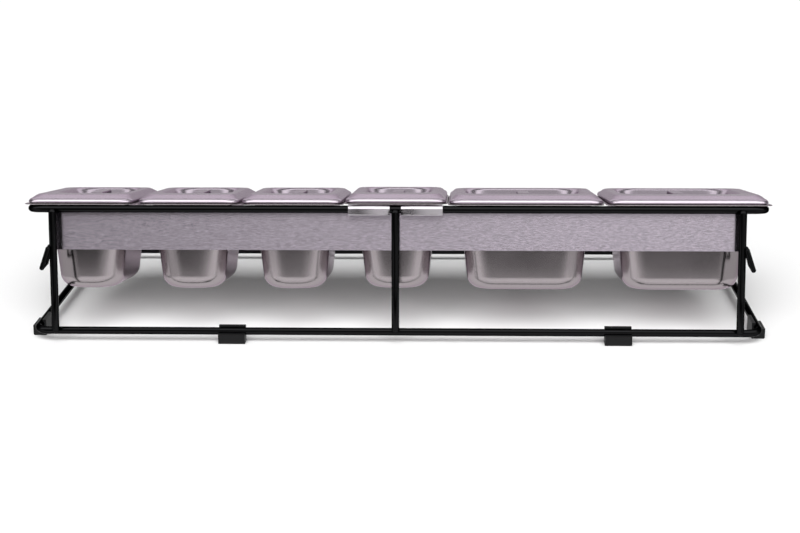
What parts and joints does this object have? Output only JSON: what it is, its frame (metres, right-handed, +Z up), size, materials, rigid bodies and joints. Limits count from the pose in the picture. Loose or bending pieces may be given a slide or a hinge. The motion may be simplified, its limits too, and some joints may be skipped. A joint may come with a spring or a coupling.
{
  "type": "condiment pan rack with lids",
  "caption": "Tilted black wire counter stand that holds a row of small and large stainless steel drop-in pans with recessed lift-off lids and a long hanging steel panel.",
  "frame": {"origin": "on the floor, under the middle of the stand's bounding box", "axes": "+X along the row of pans, +Y from the near side with the hanging panel to the far side, +Z up"},
  "size_m": [0.7768, 0.329, 0.1521],
  "materials": {
    "black_wire": "semi-gloss black powder coat",
    "steel": "satin stainless steel",
    "panel_steel": "stainless steel brushed along its length",
    "rubber": "matte black rubber"
  },
  "bodies": {
    "stand": {"top_ring": "black_wire", "base_ring": "black_wire", "near_leg_left": "black_wire", "near_leg_centre": "black_wire", "near_leg_right": "black_wire", "far_leg_left": "black_wire", "far_leg_centre": "black_wire", "far_leg_right": "black_wire", "side_hook_left": "black_wire", "side_hook_right": "black_wire", "foot_near_left": "rubber", "foot_near_right": "rubber", "foot_side_near_left": "rubber", "foot_side_near_right": "rubber", "foot_side_far_left": "rubber", "foot_side_far_right": "rubber"},
    "hanging_panel": {"panel": "panel_steel", "panel_tab_left": "steel", "panel_tab_right": "steel"},
    "pan_1_body": {"pan_1": "steel", "pan_rim_1": "steel"},
    "lid_1_body": {"lid_1": "steel", "lid_handle_1": "steel"},
    "pan_2_body": {"pan_2": "steel", "pan_rim_2": "steel"},
    "lid_2_body": {"lid_2": "steel", "lid_handle_2": "steel"},
    "pan_3_body": {"pan_3": "steel", "pan_rim_3": "steel"},
    "lid_3_body": {"lid_3": "steel", "lid_handle_3": "steel"},
    "pan_4_body": {"pan_4": "steel", "pan_rim_4": "steel"},
    "lid_4_body": {"lid_4": "steel", "lid_handle_4": "steel"},
    "pan_5_body": {"pan_5": "steel", "pan_rim_5": "steel"},
    "lid_5_body": {"lid_5": "steel", "lid_handle_5": "steel"},
    "pan_6_body": {"pan_6": "steel", "pan_rim_6": "steel"},
    "lid_6_body": {"lid_6": "steel", "lid_handle_6": "steel"}
  },
  "joints": [
    {"name": "panel_swing", "type": "hinge", "parent": "stand", "child": "hanging_panel", "pos_m": [0, -0.13467, 0.13906], "axis": [1, 0, 0], "range_deg": [-5, 5]},
    {"name": "pan_1_lift", "type": "slide", "parent": "stand", "child": "pan_1_body", "axis": [0, 0.1822, 0.9833], "range_m": [0, 0.105]},
    {"name": "pan_2_lift", "type": "slide", "parent": "stand", "child": "pan_2_body", "axis": [0, 0.1822, 0.9833], "range_m": [0, 0.105]},
    {"name": "pan_3_lift", "type": "slide", "parent": "stand", "child": "pan_3_body", "axis": [0, 0.1822, 0.9833], "range_m": [0, 0.105]},
    {"name": "pan_4_lift", "type": "slide", "parent": "stand", "child": "pan_4_body", "axis": [0, 0.1822, 0.9833], "range_m": [0, 0.105]},
    {"name": "pan_5_lift", "type": "slide", "parent": "stand", "child": "pan_5_body", "axis": [0, 0.1822, 0.9833], "range_m": [0, 0.105]},
    {"name": "pan_6_lift", "type": "slide", "parent": "stand", "child": "pan_6_body", "axis": [0, 0.1822, 0.9833], "range_m": [0, 0.105]},
    {"name": "lid_1_lift", "type": "slide", "parent": "pan_1_body", "child": "lid_1_body", "axis": [0, 0.1822, 0.9833], "range_m": [0, 0.04]},
    {"name": "lid_2_lift", "type": "slide", "parent": "pan_2_body", "child": "lid_2_body", "axis": [0, 0.1822, 0.9833], "range_m": [0, 0.04]},
    {"name": "lid_3_lift", "type": "slide", "parent": "pan_3_body", "child": "lid_3_body", "axis": [0, 0.1822, 0.9833], "range_m": [0, 0.04]},
    {"name": "lid_4_lift", "type": "slide", "parent": "pan_4_body", "child": "lid_4_body", "axis": [0, 0.1822, 0.9833], "range_m": [0, 0.04]},
    {"name": "lid_5_lift", "type": "slide", "parent": "pan_5_body", "child": "lid_5_body", "axis": [0, 0.1822, 0.9833], "range_m": [0, 0.04]},
    {"name": "lid_6_lift", "type": "slide", "parent": "pan_6_body", "child": "lid_6_body", "axis": [0, 0.1822, 0.9833], "range_m": [0, 0.04]}
  ]
}
